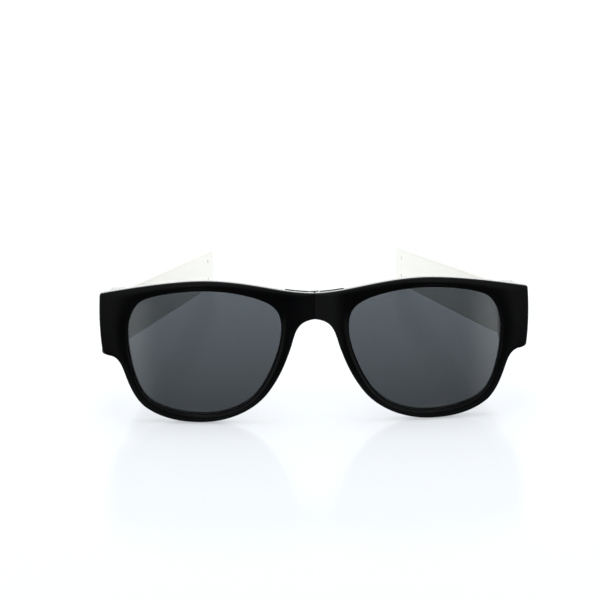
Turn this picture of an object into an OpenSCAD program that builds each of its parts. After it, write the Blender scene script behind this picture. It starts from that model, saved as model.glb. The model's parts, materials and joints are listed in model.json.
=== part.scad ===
// Folding sunglasses with flexible strip arms.
// Everything is drawn as worn (x across, y rearwards, z up from the bottom of the rims)
// and then leaned back until it stands on its rims and on the tips of its arms.

/* [Lenses] */
// Width of the lens opening
lens_w = 51.8; // [47:0.1:57]
// Height of the lens opening
lens_h = 41.8; // [37:0.1:48]
// Distance between the two lens openings
bridge_gap = 22.2; // [20.5:0.1:27]
// Thickness of a lens
lens_t = 1.8; // [1.2:0.1:2.2]

/* [Front] */
// Thickness of the front, front to rear
front_t = 4.4; // [4:0.1:6]
// Radius of the front's wrap, seen from above
wrap_r = 460; // [250:5:900]
// Width of the rim under the lens
rim_low = 3.5; // [3:0.1:5]
// Height of the bar over the lens
rim_top = 3.1; // [2.6:0.1:6]
// Reach of the end piece beyond the lens
end_w = 9.6; // [9:0.1:14]
// Rounding of the front's outer edges
edge_r = 0.9; // [0.4:0.1:1.2]
// Depth of the lens groove
groove_d = 0.8; // [0.5:0.1:1.2]
// Bevel round the lens at the front
bevel = 0.7; // [0.3:0.1:0.9]
// How far the moulded nose rests stand out behind the rims
nose_out = 2.6; // [1.4:0.1:4]

/* [Hinge] */
// Height of the hinge barrel
hinge_h = 8; // [6:0.1:8.2]
// Width of one hinge leaf, from the seam
leaf_w = 9.8; // [8:0.1:10]
// Thickness of a hinge leaf
leaf_t = 1.2; // [0.8:0.1:1.6]
// How far a leaf's top edge stands above the bridge
leaf_rise = 0.3; // [0.05:0.05:0.4]
// Outer diameter of the knuckles
knuckle_d = 3.4; // [2.8:0.1:4]
// Diameter of the hinge pin
pin_d = 1.5; // [1.2:0.1:1.8]
// Number of knuckles
knuckles = 5; // [3:2:7]
// Shank diameter of the hinge screws
hinge_screw_d = 1.4; // [1:0.1:1.6]
// Length of the hinge screws under the leaf
hinge_screw_len = 2; // [1.4:0.1:2.4]

/* [End stubs] */
// Thickness of an end stub, across the head
stub_t = 6; // [5.4:0.1:8]
// Length of an end stub behind the front
stub_len = 17; // [12:0.5:20]
// Height of an end stub
stub_h = 19.9; // [19.4:0.1:24]
// Thickness of the stub's cover plate
cover_t = 1.3; // [1:0.1:1.6]
// Inward turn of the stub
stub_in = 4; // [0:0.5:6]
// Shank diameter of the cover screws
cover_screw_d = 1.4; // [1:0.1:1.6]

/* [Arms] */
// Thickness of an arm
arm_t = 2.4; // [2:0.1:3]
// Height of an arm inside its stub
root_h = 17.8; // [16:0.1:18]
// Height of an arm behind its bend
arm_h = 19; // [17:0.1:20]
// Height of an arm at its tip
tip_h = 16; // [14:0.1:18]
// Length of an arm behind its stub
arm_len = 130; // [110:1:150]
// Inward turn of the arm behind its bend
arm_in = 12.6; // [9:0.1:16]
// Length of the bend behind the stub
bend_len = 18; // [14:1:30]
// Corner radius at the tip
tip_r = 2.7; // [1:0.1:5]
// Rounding of the sleeve's edges
sleeve_r = 0.8; // [0.3:0.1:0.9]
// Thickness of the spring strip
strip_t = 0.4; // [0.2:0.1:0.6]
// Height of the spring strip
strip_h = 11.5; // [10:0.5:12.5]
// Diameter of the tip rivets
rivet_d = 1.6; // [1:0.1:2]

/* [Fits] */
// Gap between pieces that are fitted together
fit = 0.05; // [0.03:0.01:0.08]
// Half of the seam between the two halves
seam = 0.05; // [0.03:0.01:0.1]
// Running clearance round the hinge pin
run = 0.03; // [0.02:0.01:0.06]
// Clearance between knuckles and what they turn against
turn_gap = 0.1; // [0.06:0.01:0.16]

/* [Hidden] */

black = [0.05, 0.05, 0.055];
smoke = [0.26, 0.29, 0.31, 0.7];
cream = [0.93, 0.92, 0.88];
steel = [0.7, 0.71, 0.72];
dark_steel = [0.2, 0.2, 0.21];
more = 10;        // how far a cut runs past what it cuts
clear = 0.01;     // a cut's overrun on a shared face

// Grading: the outline is drawn once, for the pattern sizes below, and each stretch
// of it is then let out or taken in to the sizes set above.
pattern_gap = 11.1;
pattern_w = 51.8;
pattern_end = 9.6;
pattern_low = 3.5;
pattern_h = 41.8;
pattern_top = 3.1;
saddle = 44.2;      // top of the bridge
arch = 35.2;        // top of the nose arch

function grade_x(x) =
    x < pattern_gap ? x * bridge_gap / 2 / pattern_gap :
    x < pattern_gap + pattern_w ? bridge_gap / 2 + (x - pattern_gap) * lens_w / pattern_w :
    bridge_gap / 2 + lens_w + (x - pattern_gap - pattern_w) * end_w / pattern_end;
function grade_z(z) =
    z < pattern_low ? z * rim_low / pattern_low :
    z < pattern_low + pattern_h ? rim_low + (z - pattern_low) * lens_h / pattern_h :
    rim_low + lens_h + (z - pattern_low - pattern_h) * rim_top / pattern_top;
function grade(p) = [grade_x(p[0]), grade_z(p[1])];

// Cubic curve through four control points, as n steps without its last point
function cubic(b, t) =
    pow(1 - t, 3) * b[0] + 3 * t * pow(1 - t, 2) * b[1] + 3 * t * t * (1 - t) * b[2] + pow(t, 3) * b[3];
function steps(b, n) = [for (i = [0:n - 1]) grade(cubic(b, i / n))];

// Half of the front, seen from the front, clockwise from the top of the seam.
// The two outlines have the same number of steps in each stretch.
past_seam = -3;
outer = concat(
    steps([[past_seam, saddle], [9, 43.3], [19.5, 48.1], [36, 48.4]], 12),
    steps([[36, 48.4], [46.5, 48.5], [60, 46.5], [71.1, 44.45]], 10),
    steps([[71.1, 44.45], [71.9, 44.3], [72.15, 44], [72.2, 43.3]], 4),
    steps([[72.2, 43.3], [72.65, 37], [72.6, 31], [72, 25.6]], 7),
    steps([[72, 25.6], [71.9, 24.2], [71.4, 23.3], [70.1, 23.1]], 3),
    steps([[70.1, 23.1], [66.8, 23], [65.6, 20.4], [64.5, 17.2]], 5),
    steps([[64.5, 17.2], [62.7, 11.6], [61, 8.2], [58.4, 5.7]], 5),
    steps([[58.4, 5.7], [53.8, 1.5], [47, 0], [39, 0]], 6),
    steps([[39, 0], [31, 0], [22.2, 2.9], [16.65, 9.35]], 9),
    steps([[16.65, 9.35], [12.7, 14.15], [10.2, 19.4], [7.9, 26.25]], 8),
    steps([[7.9, 26.25], [6.05, 32.2], [5, arch], [past_seam, arch]], 7),
    steps([[past_seam, arch], [past_seam, 38], [past_seam, 41], [past_seam, saddle]], 3));
opening = concat(
    steps([[15.5, 40.9], [19.8, 43.4], [29.5, 45.4], [38, 45.3]], 12),
    steps([[38, 45.3], [45.5, 45.2], [55.8, 43.9], [58.8, 41.3]], 14),
    steps([[58.8, 41.3], [61.6, 38.8], [62.9, 35], [62.9, 30.4]], 7),
    steps([[62.9, 30.4], [62.9, 24.6], [61.6, 16.5], [58.8, 11.4]], 8),
    steps([[58.8, 11.4], [55.6, 5.3], [46, 3.5], [37.6, 3.5]], 11),
    steps([[37.6, 3.5], [29.8, 3.5], [22.3, 6.1], [17.8, 13.1]], 9),
    steps([[17.8, 13.1], [14.5, 18.2], [11.1, 26.1], [11.1, 32.5]], 8),
    steps([[11.1, 32.5], [11.1, 36.3], [12.2, 39.1], [15.5, 40.9]], 10));
stations = len(opening);

// The front bends round a tall cylinder: how far its face lies behind the bridge at x
function wrap(x) = wrap_r - sqrt(wrap_r * wrap_r - x * x);

// Moulded nose rest: a swell behind the rim along the flank of the nose
nose_low = grade_z(9);
nose_high = grade_z(32);
nose_side = grade_x(21);
nose_fade = 7;                              // the swell comes and goes over this length
nose_splay = 0.35;                          // it leans away from the nose by this share
function ease(t) = let (u = min(1, max(0, t))) u * u * (3 - 2 * u);
function nose_rest(p) = nose_out * ease((p[1] - nose_low) / nose_fade) *
    ease((nose_high - p[1]) / nose_fade) * ease((nose_side - p[0]) / nose_fade);

// One section of the rim, from the lens (w = 0) outwards to the edge (w = span)
lens_y = bevel + 0.5;                       // lens face behind the front's face
crown = 0.2;                                // swell of the front face
rear_soft = 0.5;                            // soft edge behind the lens
turn_in = 0.3;                              // share of a rounding that its middle point keeps
function section(span, rest) = [
    [0, bevel], [bevel, 0.12], [span / 2, -crown], [span - edge_r, 0.1],
    [span - turn_in * edge_r, turn_in * edge_r], [span, edge_r],
    [span, front_t - edge_r],
    [span - turn_in * edge_r - nose_splay * rest, front_t - turn_in * edge_r + rest],
    [span - edge_r - nose_splay * rest, front_t + rest], [rear_soft, front_t], [0, front_t - rear_soft],
    [0, lens_y + lens_t + 2 * fit], [groove_d, lens_y + lens_t + 2 * fit],
    [groove_d, lens_y], [0, lens_y]];
sides = len(section(1, 0));

function along(i, w) = let (a = opening[i], b = outer[i]) a + (b - a) * w / norm(b - a);
rim_points = [for (i = [0:stations - 1]) each
    let (span = norm(outer[i] - opening[i]), rest = nose_rest(outer[i]))
    [for (s = section(span, rest)) let (p = along(i, s[0])) [p[0], wrap(p[0]) + s[1], p[1]]]];
rim_faces = [for (i = [0:stations - 1]) for (k = [0:sides - 1]) each
    let (j = (i + 1) % stations, m = (k + 1) % sides,
         a = i * sides + k, b = j * sides + k, c = j * sides + m, d = i * sides + m)
    [[a, c, b], [a, d, c]]];

// Places that follow from the outline
half_w = bridge_gap / 2 + lens_w + end_w;
bridge_low = grade_z(arch);
bridge_high = grade_z(saddle);
hinge_mid = (bridge_low + bridge_high) / 2 + 0.2;

// Stub and arm: the mouth frame has its origin in the middle of the stub's rear end
stub_top = grade_z(42.9);
stub_low = stub_top - stub_h;
mouth_y = wrap(half_w) + front_t + stub_len;
stub_step = 0.2;                            // the stub's side lies this far inside the end piece
mouth_x = half_w - stub_step - stub_t / 2 - (stub_len + front_t) * tan(stub_in);
flange = 0.9;                               // lower flange of the stub
arm_low = stub_low + flange + fit;          // lower edge of the arm in its stub
stub_wall = stub_t - cover_t - arm_t - 3 * fit;
arm_x = stub_t / 2 - stub_wall - fit - arm_t / 2;
end_wall = 2;                               // solid end of the stub in front of the arm
root_len = stub_len - end_wall;             // length of the arm inside the stub
bend = arm_in - stub_in;
bend_r = bend_len / (bend * PI / 180);
waist = 1.7;                                // the lower edge drops by this behind the stub
tip_low = arm_low - waist;
waist_from = bend_len / 8;                  // the arm deepens between these lengths
waist_to = bend_len * 3 / 4;

// A point beside the arm's middle line: s along it from the mouth, off to its outer side
function arm_turn(s) = bend * min(1, max(0, s / bend_len));
function arm_mid(s) =
    s <= 0 ? [arm_x, s] :
    s < bend_len ? [arm_x - bend_r * (1 - cos(arm_turn(s))), bend_r * sin(arm_turn(s))] :
    arm_mid(bend_len - clear) + (s - bend_len) * [-sin(bend), cos(bend)];
function beside(s, off) = arm_mid(s) + off * [cos(arm_turn(s)), sin(arm_turn(s))];
bend_steps = 8;
function arm_stops(from, to) = concat(from, [for (i = [0:bend_steps]) i * bend_len / bend_steps], to);
function band_plan(from, to, t) = concat(
    [for (s = arm_stops(from, to)) beside(s, t / 2)],
    [for (i = [bend_steps + 2:-1:0]) beside(arm_stops(from, to)[i], -t / 2)]);

// Quarter of a circle from the angle given, and a rectangle with round corners, as points
corner_steps = 6;
function arc(x, y, r, from) =
    [for (k = [0:corner_steps]) let (a = from + 90 * k / corner_steps) [x + r * cos(a), y + r * sin(a)]];
function round_rect(x0, y0, x1, y1, r) = concat(arc(x1 - r, y1 - r, r, 0), arc(x0 + r, y1 - r, r, 90),
    arc(x0 + r, y0 + r, r, 180), arc(x1 - r, y0 + r, r, 270));

// Standing: the lean at which rims and tips touch the same flat surface
function lowest(lean) = min([for (p = rim_points) p[2] * cos(lean) - p[1] * sin(lean)]);
straight_end = arm_mid(arm_len - tip_r);
tip_y = mouth_y + straight_end[0] * sin(stub_in) + straight_end[1] * cos(stub_in);
tip_reach = norm([tip_y, tip_low + tip_r]);
tip_slope = atan2(tip_low + tip_r, tip_y);
function lean_step(lean) = tip_slope - asin((tip_r + lowest(lean)) / tip_reach);
lean = lean_step(lean_step(lean_step(8)));
foremost = min([for (p = rim_points) p[1] * cos(lean) + p[2] * sin(lean)]);
tip_corner = tip_low + tip_h - tip_r;
rearmost = tip_y * cos(lean) + tip_corner * sin(lean) + tip_r;

module standing() {
    translate([0, -(foremost + rearmost) / 2, -lowest(lean)]) rotate([-lean, 0, 0]) children();
}
module left() { standing() mirror([1, 0, 0]) children(); }
module right() { standing() children(); }
module at_mouth() { translate([mouth_x, mouth_y, 0]) rotate(stub_in) children(); }

// Half of the front: rim, bridge half, end piece and stub in one moulding
axis_y = front_t + 1;                       // hinge axis behind the bridge's face
pocket_y = front_t - 0.8;                   // floor of the leaf's pocket
module hinge_axis() { translate([0, axis_y, 0]) children(); }

fillet = 2;                                 // hollow fillet where stub meets front
stub_round = 1.3;                           // rounding of the stub's outer edges
module stub_block() {
    at_mouth() intersection() {
        translate([0, 0, stub_low]) linear_extrude(stub_h) polygon(concat(
            [[stub_t / 2, -stub_len - front_t + 2 * edge_r]],
            arc(stub_t / 2 - stub_round, -stub_round, stub_round, 0),
            arc(-stub_t / 2 + edge_r, -edge_r, edge_r, 90),
            [for (p = arc(0, 0, fillet, 0)) [p[0] - stub_t / 2 - fillet, -p[1] - stub_len + fillet]],
            [[-stub_t / 2 - fillet, -stub_len - front_t / 2]]));
        translate([0, more, 0]) rotate([90, 0, 0]) linear_extrude(stub_len + 2 * more) polygon(concat(
            [[-stub_t, stub_low]], arc(stub_t / 2 - stub_round, stub_low + stub_round, stub_round, -90),
            arc(stub_t / 2 - stub_round, stub_top - stub_round, stub_round, 0), [[-stub_t, stub_top]]));
    }
}
module stub_channel() {
    at_mouth() translate([-stub_t, -root_len - fit, arm_low - fit])
        cube([stub_t * 1.5 - stub_wall, root_len + more, root_h + 2 * fit]);
}
module front_half() {
    color(black) difference() {
        union() {
            polyhedron(rim_points, rim_faces);
            stub_block();
        }
        translate([-more, -more, 0]) cube([more + seam, 3 * more, 6 * more]);
        seam_notches();
        seam_groove();
        leaf_pocket();
        stub_channel();
        for (z = leaf_screw_z) translate([leaf_screw_x, 0, z]) leaf_screw(fit, screw_room);
        for (z = cover_screw_z) cover_screw(z, fit);
    }
}
notch_low = 0.15;                           // notches in the bottom and top of the seam
notch_high = 0.7;
module seam_notches() {
    for (n = [[bridge_low, notch_low], [bridge_high, notch_high]])
        translate([0, front_t / 2, n[0]]) rotate([0, 45, 0])
            cube([n[1], 2 * front_t, n[1]] * sqrt(2), center = true);
}
seam_v = 0.25;                              // groove down the face of the seam
module seam_groove() {
    translate([0, 0, bridge_low]) rotate(45) cube([seam_v, seam_v, 4 * more], center = true);
}
module leaf_pocket() {
    translate([-more, pocket_y, hinge_mid - hinge_h / 2 - fit])
        cube([more + leaf_w + fit, more, 2 * more]);
    hinge_axis() translate([0, 0, bridge_low - more])
        cylinder(d = knuckle_d + 6 * turn_gap, h = bridge_high - bridge_low + 2 * more, $fn = 64);
}

// Smoked lens, held in the groove round its opening
lens_edge = [for (i = [0:stations - 1]) along(i, groove_d - fit)];
module lens() {
    color(smoke) intersection() {
        translate([0, 2 * more, 0]) rotate([90, 0, 0]) linear_extrude(3 * more) polygon(lens_edge);
        translate([0, wrap_r, 0]) difference() {
            cylinder(r = wrap_r - lens_y - fit, h = 6 * more, $fn = 720);
            translate([0, 0, -more])
                cylinder(r = wrap_r - lens_y - fit - lens_t, h = 8 * more, $fn = 720);
        }
    }
}

// Bridge hinge: two leaves with interleaved knuckles, screwed into the rear of the bridge
knuckle_h = hinge_h / knuckles;
leaf_corner = 0.8;
leaf_screw_x = knuckle_d / 2 + (leaf_w - knuckle_d / 2) * 0.54;
leaf_screw_z = [hinge_mid - hinge_h / 4, hinge_mid + hinge_h / 4];
head_d = 2.4;                               // screw heads: diameter and straight edge
head_edge = 0.1;
screw_room = 0.2;                           // the hinge screws' holes are deeper by this
module leaf(first, bore_d) {
    color(dark_steel) difference() {
        union() {
            leaf_plate();
            for (k = [first:2:knuckles - 1])
                translate([0, 0, hinge_mid - hinge_h / 2 + k * knuckle_h + turn_gap / 2]) {
                    hinge_axis() cylinder(d = knuckle_d, h = knuckle_h - turn_gap, $fn = 64);
                    translate([0, pocket_y + turn_gap, 0])
                        cube([knuckle_d / 2 + leaf_corner, leaf_t - turn_gap, knuckle_h - turn_gap]);
                }
        }
        hinge_axis() cylinder(d = bore_d, h = 2 * bridge_high, $fn = 48);
        for (z = leaf_screw_z) translate([leaf_screw_x, 0, z]) leaf_screw(fit, 0);
    }
}
// The plate follows the top of the bridge and stands a little above it
module leaf_plate() {
    intersection() {
        translate([0, pocket_y + leaf_t, hinge_mid]) rotate([90, 0, 0]) linear_extrude(leaf_t)
            polygon(round_rect(knuckle_d / 2 + turn_gap, -hinge_h / 2, leaf_w, hinge_h, leaf_corner));
        translate([0, 2 * more, leaf_rise]) rotate([90, 0, 0]) linear_extrude(3 * more) polygon(outer);
    }
}
pin_head_d = 2.6;
pin_head_h = 0.15;
module pin() {
    color(steel) hinge_axis() translate([0, 0, hinge_mid]) rotate_extrude($fn = 64) polygon([
        [0, -hinge_h / 2 - pin_head_h], [pin_head_d / 3, -hinge_h / 2 - pin_head_h],
        [pin_head_d / 2, -hinge_h / 2], [pin_d / 2, -hinge_h / 2], [pin_d / 2, hinge_h / 2],
        [pin_head_d / 2, hinge_h / 2], [pin_head_d / 3, hinge_h / 2 + pin_head_h],
        [0, hinge_h / 2 + pin_head_h]]);
}
// Countersunk screw from the rear, its head flush with the leaf; gap widens it into its hole
module leaf_screw(gap, deeper) {
    translate([0, pocket_y + leaf_t, 0]) rotate([90, 0, 0]) rotate_extrude($fn = 48) polygon([
        [0, -gap], [head_d / 2 + gap, -gap], [head_d / 2 + gap, head_edge],
        [hinge_screw_d / 2 + gap, head_edge + (head_d - hinge_screw_d) / 2],
        [hinge_screw_d / 2 + gap, leaf_t + hinge_screw_len + deeper],
        [0, leaf_t + hinge_screw_len + deeper]]);
}
module leaf_screws() {
    color(steel) for (z = leaf_screw_z) translate([leaf_screw_x, 0, z]) leaf_screw(0, 0);
}

// Arm: a soft sleeve moulded over a spring strip, clamped in the stub under a cover
// Seen from the side: [low, high] in the stub, behind the bend and at the tip
module side_profile(root, middle, tip, to, r) {
    at_mouth() translate([arm_mid(bend_len)[0], arm_mid(bend_len)[1], 0]) rotate(bend)
        rotate([90, 0, 90]) translate([-bend_len, 0, -3 * more]) linear_extrude(6 * more) polygon(concat(
            [[-2 * more, root[0]], [waist_from, root[0]], [waist_to, middle[0]]],
            arc(to - r, tip[0] + r, r, -90), arc(to - r, tip[1] - r, r, 0),
            [[waist_to, middle[1]], [waist_from, root[1]], [-2 * more, root[1]]]));
}
module band(from, to, t) {
    at_mouth() translate([0, 0, stub_low - more]) linear_extrude(stub_h + 2 * more)
        polygon(band_plan(from, to, t));
}
strip_end = 3;                              // the strip stops this far inside the tip
function strip_span(low, high, gap) =
    let (middle = (low + high) / 2, half = strip_h / 2 + gap) [middle - half, middle + half];
rivet_in = 9.5;                             // rivets lie this far inside the tip
rivet_pitch = 7.6;
module strip_shape(gap, from) {
    intersection() {
        band(from, arm_len - strip_end + gap, strip_t + 2 * gap);
        side_profile(strip_span(arm_low, arm_low + root_h, gap), strip_span(tip_low, tip_low + arm_h, gap),
            strip_span(tip_low, tip_low + tip_h, gap), arm_len - strip_end + gap, tip_r);
    }
}
module rivets(gap) {
    at_mouth() translate([arm_mid(bend_len)[0], arm_mid(bend_len)[1], 0]) rotate(bend)
        for (z = [-1, 1] * rivet_pitch / 2)
            translate([-arm_t / 2 - gap, arm_len - bend_len - rivet_in, tip_low + tip_h / 2 + z])
                rotate([0, 90, 0]) cylinder(d = rivet_d + 2 * gap, h = arm_t + 2 * gap, $fn = 48);
}

// The sleeve is lofted along the arm's middle line from sections with round corners
root_span = [arm_low, arm_low + root_h];
middle_span = [tip_low, tip_low + arm_h];
tip_span = [tip_low, tip_low + tip_h];
function share(s, from, to) = min(1, max(0, (s - from) / (to - from)));
function span_at(s) = root_span + share(s, waist_from, waist_to) * (middle_span - root_span) +
    share(s, waist_to, arm_len - tip_r) * (tip_span - middle_span);
function fall(s, r) = r - sqrt(r * r - pow(max(0, s - arm_len + r), 2));
ring_steps = 3;
ring = 4 * (ring_steps + 1);
function sleeve_ring(s) =
    let (low = span_at(s)[0] + fall(s, tip_r), high = span_at(s)[1] - fall(s, tip_r),
         half = arm_t / 2 - fall(s, sleeve_r), r = min(sleeve_r, half - fit))
    [for (c = [[1, high - r, 0], [-1, high - r, 90], [-1, low + r, 180], [1, low + r, 270]])
        for (k = [0:ring_steps])
            let (a = c[2] + 90 * k / ring_steps, p = beside(s, c[0] * (half - r) + r * cos(a)))
            [p[0], p[1], c[1] + r * sin(a)]];
sleeve_stops = concat(arm_stops(-root_len, []),
    [for (k = [0:corner_steps]) arm_len - tip_r + tip_r * sin(90 * k / corner_steps)]);
rings = len(sleeve_stops);
module sleeve_body() {
    at_mouth() polyhedron([for (s = sleeve_stops) each sleeve_ring(s)], concat(
        [for (i = [0:rings - 2]) for (k = [0:ring - 1]) each
            let (m = (k + 1) % ring, a = i * ring + k, b = a + ring, c = (i + 1) * ring + m, d = i * ring + m)
            [[a, c, b], [a, d, c]]],
        [for (k = [1:ring - 2]) each let (e = (rings - 1) * ring) [[0, k + 1, k], [e, e + k, e + k + 1]]]));
}
border_in = 1.1;                            // moulded line round the sleeve's faces
border_w = 0.4;
border_d = 0.1;
function inset(span, by) = [span[0] + by, span[1] - by];
module border_area(by) {
    side_profile(inset(root_span, by), inset(middle_span, by), inset(tip_span, by), arm_len - by,
        max(border_d, tip_r - by));
}
module border_line() {
    difference() {
        intersection() { band(-seam, arm_len, 2 * arm_t); border_area(border_in); }
        border_area(border_in + border_w);
        band(-more, arm_len, arm_t - 2 * border_d);
    }
}
module sleeve() {
    color(cream) difference() {
        sleeve_body();
        border_line();
        strip_shape(fit, -root_len - 1);
        rivets(fit);
        for (z = cover_screw_z) cover_screw(z, fit);
    }
}
module strip() {
    color(steel) difference() {
        strip_shape(0, -root_len);
        rivets(fit);
        for (z = cover_screw_z) cover_screw(z, fit);
    }
}

// Cover plate on the inner side of the stub, and its two screws
cover_screw_z = [arm_low + root_h * 0.3, arm_low + root_h * 0.7];
cover_corner = 0.6;
module cover() {
    color(black) difference() {
        at_mouth() translate([-stub_t / 2, 0, 0]) rotate([90, 0, 90]) linear_extrude(cover_t)
            polygon(round_rect(-root_len, arm_low, -fit, arm_low + root_h, cover_corner));
        for (z = cover_screw_z) cover_screw(z, fit);
    }
}
module cover_screw(z, gap) {
    at_mouth() translate([-stub_t / 2, -root_len / 2, z]) rotate([0, 90, 0]) rotate_extrude($fn = 48)
        polygon([[0, -gap], [head_d / 2 + gap, -gap], [head_d / 2 + gap, head_edge],
            [cover_screw_d / 2 + gap, head_edge + (head_d - cover_screw_d) / 2],
            [cover_screw_d / 2 + gap, stub_t - stub_wall / 3 + gap],
            [0, stub_t - stub_wall / 3 + gap]]);
}
module cover_screws() { color(steel) for (z = cover_screw_z) cover_screw(z, 0); }

left() front_half();  // front_left
right() front_half();  // front_right
left() lens();  // lens_left
right() lens();  // lens_right
left() leaf(0, pin_d);  // hinge_leaf_left
right() leaf(1, pin_d + 2 * run);  // hinge_leaf_right
right() pin();  // hinge_pin
left() leaf_screws();  // hinge_screws_left
right() leaf_screws();  // hinge_screws_right
left() sleeve();  // arm_sleeve_left
right() sleeve();  // arm_sleeve_right
left() strip();  // spring_strip_left
right() strip();  // spring_strip_right
left() cover();  // stub_cover_left
right() cover();  // stub_cover_right
left() cover_screws();  // cover_screws_left
right() cover_screws();  // cover_screws_right
color(dark_steel) left() rivets(0);  // tip_rivets_left
color(dark_steel) right() rivets(0);  // tip_rivets_right
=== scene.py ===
import json
from math import atan2, cos, pi, radians, sin, sqrt, tan

import bmesh
import bpy
from mathutils import Matrix, Vector


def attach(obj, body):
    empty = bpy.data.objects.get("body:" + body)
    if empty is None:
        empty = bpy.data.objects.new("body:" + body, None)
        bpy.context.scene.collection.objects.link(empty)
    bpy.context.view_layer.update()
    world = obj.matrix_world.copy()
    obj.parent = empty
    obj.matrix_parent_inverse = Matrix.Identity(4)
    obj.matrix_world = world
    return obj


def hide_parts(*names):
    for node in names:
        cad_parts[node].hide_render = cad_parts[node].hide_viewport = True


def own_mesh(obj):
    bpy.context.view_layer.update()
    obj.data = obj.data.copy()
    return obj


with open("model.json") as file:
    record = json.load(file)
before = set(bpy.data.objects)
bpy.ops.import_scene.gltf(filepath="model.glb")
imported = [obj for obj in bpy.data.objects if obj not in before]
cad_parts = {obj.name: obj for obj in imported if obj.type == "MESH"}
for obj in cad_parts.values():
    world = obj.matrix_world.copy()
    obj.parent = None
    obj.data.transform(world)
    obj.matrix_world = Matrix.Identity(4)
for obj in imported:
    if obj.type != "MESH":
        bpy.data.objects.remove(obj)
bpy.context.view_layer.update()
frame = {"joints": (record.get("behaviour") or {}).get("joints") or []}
scene = bpy.context.scene

# Camera: where it stood for the photograph, in the part's own frame
photoCamera = {
    "distance": 0.480,          # from the line on which the rims stand
    "side": -0.0049956,         # off to the left of the part's middle
    "height": 0.204095,
    "pitch": 18.53,             # looking down, degrees
    "yaw": 1.0956,              # the part is turned by this to the camera
    "roll": 0.7311,             # its right side stands this much higher
    "focalPixels": 1532.4,
    "picture": 600,
    "sensor": 36.0,             # mm
    "contactY": -0.07656,       # the line on which the rims stand
    "sees": (0.01, 20),         # from here to here, metres
}


def addCamera(c):
    turn = Matrix.Rotation(radians(-c["yaw"]), 4, "Z")
    place = turn @ Vector((c["side"], -c["distance"], c["height"])) + Vector((0, c["contactY"], 0))
    look = turn @ Matrix.Rotation(radians(90 - c["pitch"]), 4, "X")
    look = look @ Matrix.Rotation(radians(-c["roll"]), 4, "Z")
    data = bpy.data.cameras.new("photoCamera")
    data.sensor_width = c["sensor"]
    data.lens = c["sensor"] * c["focalPixels"] / c["picture"]
    data.clip_start, data.clip_end = c["sees"]
    camera = bpy.data.objects.new("photoCamera", data)
    camera.matrix_world = Matrix.Translation(place) @ look
    scene.collection.objects.link(camera)
    scene.camera = camera


addCamera(photoCamera)
print("camera placed")

# Everything below is drawn as worn, in mm (x across, y rearwards, z up from the bottom of
# the rims), for the right-hand side. The fold joint tells how the glasses lean to stand.
worn = {
    "axisY": 5.4,           # how far back the hinge's axis lies
    "hingeMid": 39.9,       # height of the hinge's middle
    "mm": 0.001,
}
foldJoint = frame["joints"][0]
lean = atan2(foldJoint["axis"][1], foldJoint["axis"][2])
wornPlace = (Matrix.Translation(foldJoint["pos_m"]) @ Matrix.Rotation(-lean, 4, "X")
    @ Matrix.Scale(worn["mm"], 4) @ Matrix.Translation((0, -worn["axisY"], -worn["hingeMid"])))
sidePlace = {"left": wornPlace @ Matrix.Diagonal((-1, 1, 1, 1)), "right": wornPlace}


# Meshes
def newPiece(name, points, faces):
    mesh = bpy.data.meshes.new(name)
    mesh.from_pydata([tuple(p) for p in points], [], faces)
    work = bmesh.new()
    work.from_mesh(mesh)
    bmesh.ops.recalc_face_normals(work, faces=work.faces)
    work.to_mesh(mesh)
    work.free()
    piece = bpy.data.objects.new(name, mesh)
    scene.collection.objects.link(piece)
    return piece


def loft(name, rings, closed=False):
    size = len(rings[0])
    points = [p for ring in rings for p in ring]
    faces = []
    for i in range(len(rings) if closed else len(rings) - 1):
        here, there = i * size, (i + 1) % len(rings) * size
        for k in range(size):
            nextK = (k + 1) % size
            faces.append((here + k, here + nextK, there + nextK, there + k))
    if not closed:
        faces.append(tuple(range(size)))
        faces.append(tuple(range(len(points) - size, len(points))))
    return newPiece(name, points, faces)


def lathe(name, profile, place, sides=64):
    # profile: (radius, height) from the bottom of the axis to its top, both on the axis
    inner = profile[1:-1]
    points = [Vector((0, 0, profile[0][1])), Vector((0, 0, profile[-1][1]))]
    for i in range(sides):
        turn = 2 * pi * i / sides
        points += [Vector((r * cos(turn), r * sin(turn), h)) for r, h in inner]
    faces = []
    size = len(inner)
    for i in range(sides):
        a, b = 2 + i * size, 2 + (i + 1) % sides * size
        faces.append((0, b, a))
        faces.append((1, a + size - 1, b + size - 1))
        for k in range(size - 1):
            faces.append((a + k, b + k, b + k + 1, a + k + 1))
    return newPiece(name, [place @ p for p in points], faces)


def prism(name, outline, start, end, place):
    # outline in x and y, drawn out along z, then put in place
    rings = [[place @ Vector((x, y, z)) for x, y in outline] for z in (start, end)]
    return loft(name, rings)


def boxPiece(name, low, high, place=Matrix()):
    outline = [(low[0], low[1]), (high[0], low[1]), (high[0], high[1]), (low[0], high[1])]
    return prism(name, outline, low[2], high[2], place)


def bake(piece):
    seen = piece.evaluated_get(bpy.context.evaluated_depsgraph_get())
    mesh = bpy.data.meshes.new_from_object(seen)
    piece.modifiers.clear()
    piece.data = mesh


def combine(piece, how, others):
    for other in others:
        step = piece.modifiers.new(how, "BOOLEAN")
        step.operation = how
        step.solver = "MANIFOLD"
        step.object = other
    bake(piece)
    for other in others:
        bpy.data.objects.remove(other)


def soften(piece, width, segments=3, angle=35):
    bevel = piece.modifiers.new("soften", "BEVEL")
    bevel.width = width
    bevel.segments = segments
    bevel.limit_method = "ANGLE"
    bevel.angle_limit = radians(angle)
    bevel.harden_normals = False
    bake(piece)


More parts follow.
